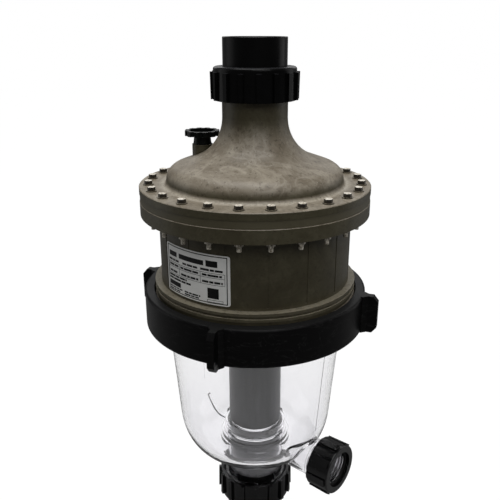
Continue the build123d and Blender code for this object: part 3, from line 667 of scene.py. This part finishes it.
def printed(name, fields):
    """Thin curved bars on the label: left, right, low and high, from the label's middle."""
    inner = LABEL_RADIUS + PRINT_LIFT
    outer = inner + PRINT_THICK
    vertices = []
    faces = []
    for left, right, low, high in fields:
        steps = max(1, int((right - left) / PRINT_STEP))
        faces += bar_faces(len(vertices), steps)
        for step in range(steps + 1):
            angle = LABEL_ANGLE + (left + (right - left) * step / steps) / LABEL_RADIUS
            for radius, height in ((inner, low), (inner, high), (outer, high), (outer, low)):
                vertices.append(around(radius, angle, LABEL_MIDDLE + height) * MM)
    new_piece(name, vertices, faces, "housing_group", "label_face", ink)


def box_lines(left, right, low, high, width):
    """Four bars round a rectangle."""
    return [
        (left, right, high - width, high),
        (left, right, low, low + width),
        (left, left + width, low + width, high - width),
        (right - width, right, low + width, high - width),
    ]


def words(left, right, low, high, lengths):
    """Bars of the given lengths in turn, with gaps between them, like a line of small print."""
    bars = []
    for length in cycle(lengths):
        if left + SHORTEST_WORD >= right:
            return bars
        end = min(right, left + length)
        bars.append((left, end, low, high))
        left = end + WORD_GAP


table_rules = [
    (-40.8, 40.0, 2.1, 2.5),
    (-20.8, -20.4, -5.4, 2.1),
    (-20.8, -20.4, 2.5, 7.4),
    (10.6, 11.0, -5.4, 2.1),
    (10.6, 11.0, 2.5, 7.4),
]
rules = (
    box_lines(-43.2, 43.2, -27.2, 27.2, FRAME_WIDTH)
    + box_lines(-41.2, 40.4, -5.8, 7.8, RULE_WIDTH)
    + table_rules
    + box_lines(19.0, 38.0, -26.0, -23.2, RULE_WIDTH)
)
printed("label_rules", rules)

solid_fields = [
    (-39.4, -25.0, 15.0, 20.6),
    (-21.0, 15.0, 15.0, 20.6),
    (18.0, 32.0, 14.6, 21.6),
    (-41.0, -19.5, -20.0, -14.6),
    (19.5, 33.0, -21.6, -9.6),
]
small_print = [
    (-40.5, -21.5, 9.6, 11.8, (7, 4, 6)),
    (-15.0, 8.0, 9.6, 11.8, (6, 8)),
    (11.0, 39.0, 9.6, 12.0, (11, 5, 9)),
    (-39.5, -22.0, 3.7, 6.0, (9, 7)),
    (-19.0, 8.0, 3.7, 6.0, (5, 12, 8)),
    (13.0, 37.0, 3.7, 6.0, (6, 13)),
    (-39.0, -24.0, -4.0, -1.6, (5, 8)),
    (-18.0, 8.0, -4.0, -1.6, (9, 4, 7)),
    (13.0, 38.0, -4.0, -1.6, (8, 5, 7)),
    (-41.0, -9.0, -9.2, -7.0, (12, 6, 9)),
    (-41.0, -3.0, -12.6, -10.4, (8, 13, 7)),
    (-41.0, -17.0, -22.8, -21.3, (5, 7, 4)),
    (-41.0, -18.5, -25.4, -23.9, (8, 4, 6)),
    (-13.0, 10.0, -22.8, -21.0, (6, 4, 8)),
    (-13.0, 8.0, -25.4, -23.7, (9, 5)),
]
bars = list(solid_fields)
for line_of_print in small_print:
    bars += words(*line_of_print)
printed("label_bars", bars)


# ---------------------------------------------------------------- floor and background
FLOOR_HALF = 6.0
FLOOR_DROP = 0.0004
LIT_GREY = (0.16, 0.16, 0.16)
SEEN_GREY = (0.92, 0.92, 0.92)
FLOOR_GLOW = 1.03
FLOOR_GLOW_SHARE = 0.97
FLOOR_REFLECTED = 0.08
SKY_REFLECTED = 0.1
SKY_LIGHT = 0.07


def path_switch(finish, glossy_share):
    """1 for what the camera sees, also through clear pieces, and a share of it in reflections.

    A ray that was scattered before it passed a clear piece isn't counted as seen, so the white
    background doesn't light what stands in the bowl.
    """
    rays = finish.add("ShaderNodeLightPath")
    scattered = finish.math("MINIMUM", rays.outputs["Diffuse Depth"], 1)
    direct = finish.math("SUBTRACT", 1, scattered)
    through = finish.math("MULTIPLY", rays.outputs["Is Transmission Ray"], direct)
    seen = finish.math("MAXIMUM", rays.outputs["Is Camera Ray"], through)
    reflected = finish.math("MULTIPLY", rays.outputs["Is Glossy Ray"], glossy_share)
    return finish.math("MAXIMUM", seen, reflected)


floor_corners = [
    (-FLOOR_HALF, -FLOOR_HALF, 0),
    (FLOOR_HALF, -FLOOR_HALF, 0),
    (FLOOR_HALF, FLOOR_HALF, 0),
    (-FLOOR_HALF, FLOOR_HALF, 0),
]
floor_mesh = bpy.data.meshes.new("floor")
floor_mesh.from_pydata(floor_corners, [], [(0, 1, 2, 3)])
floor = bpy.data.objects.new("floor", floor_mesh)
floor.location = (0, 0, -FLOOR_DROP)
bpy.context.scene.collection.objects.link(floor)
paper = Finish("floor_paper")
shown = path_switch(paper, FLOOR_REFLECTED)
lit = paper.add("ShaderNodeBsdfDiffuse")
paper.link(paper.mix(shown, LIT_GREY, SEEN_GREY), lit.inputs["Color"])
white = paper.add("ShaderNodeEmission")
white.inputs["Strength"].default_value = FLOOR_GLOW
glow_share = paper.math("MULTIPLY", shown, FLOOR_GLOW_SHARE)
floor_mesh.materials.append(paper.done(paper.blend(glow_share, lit.outputs[0], white.outputs[0])))

studio = Finish("studio", bpy.data.worlds, "ShaderNodeOutputWorld")
sky = studio.add("ShaderNodeBackground")
sky.inputs["Color"].default_value = (1, 1, 1, 1)
sky_strength = studio.span(path_switch(studio, SKY_REFLECTED), 0, 1, SKY_LIGHT, 1)
studio.link(sky_strength, sky.inputs["Strength"])
bpy.context.scene.world = studio.done(sky.outputs[0])


# ---------------------------------------------------------------- lamps and camera
CAMERA_PLACE = (0, -0.719, 0.6415)
CAMERA_DOWN = 19.67
LENS = 44.89
SENSOR_WIDTH = 36
LENS_SHIFT = -0.01
NEAREST = 0.02
FARTHEST = 50


def softbox(name, place, target, width, height, watts):
    """Rectangular lamp that faces a point."""
    light = bpy.data.lights.new(name, "AREA")
    light.shape = "RECTANGLE"
    light.size = width
    light.size_y = height
    light.energy = watts
    lamp = bpy.data.objects.new(name, light)
    lamp.location = place
    lamp.rotation_euler = (Vector(target) - Vector(place)).to_track_quat("-Z", "Y").to_euler()
    bpy.context.scene.collection.objects.link(lamp)


softbox("overhead", (-0.1, -0.1, 1.9), (0, 0, 0.5), width=1.4, height=1.0, watts=25)
softbox("front_top", (0.45, -1.25, 1.5), (0, 0, 0.48), width=1.2, height=0.8, watts=8.0)
softbox("back_top", (0.1, 1.7, 1.25), (0, 0, 0.48), width=2.4, height=0.7, watts=5.5)
softbox("left_strip", (-1.3, 0.2, 0.7), (0, 0, 0.4), width=0.8, height=1.3, watts=2.6)
softbox("right_strip", (1.3, 0.45, 0.7), (0, 0, 0.4), width=0.7, height=1.3, watts=2.8)

lens_data = bpy.data.cameras.new("camera")
lens_data.lens = LENS
lens_data.sensor_width = SENSOR_WIDTH
lens_data.shift_x = LENS_SHIFT
lens_data.clip_start = NEAREST
lens_data.clip_end = FARTHEST
camera = bpy.data.objects.new("camera", lens_data)
camera.location = CAMERA_PLACE
camera.rotation_euler = (radians(90 - CAMERA_DOWN), 0, 0)
bpy.context.scene.collection.objects.link(camera)
bpy.context.scene.camera = camera
bpy.context.scene.view_settings.view_transform = "Standard"
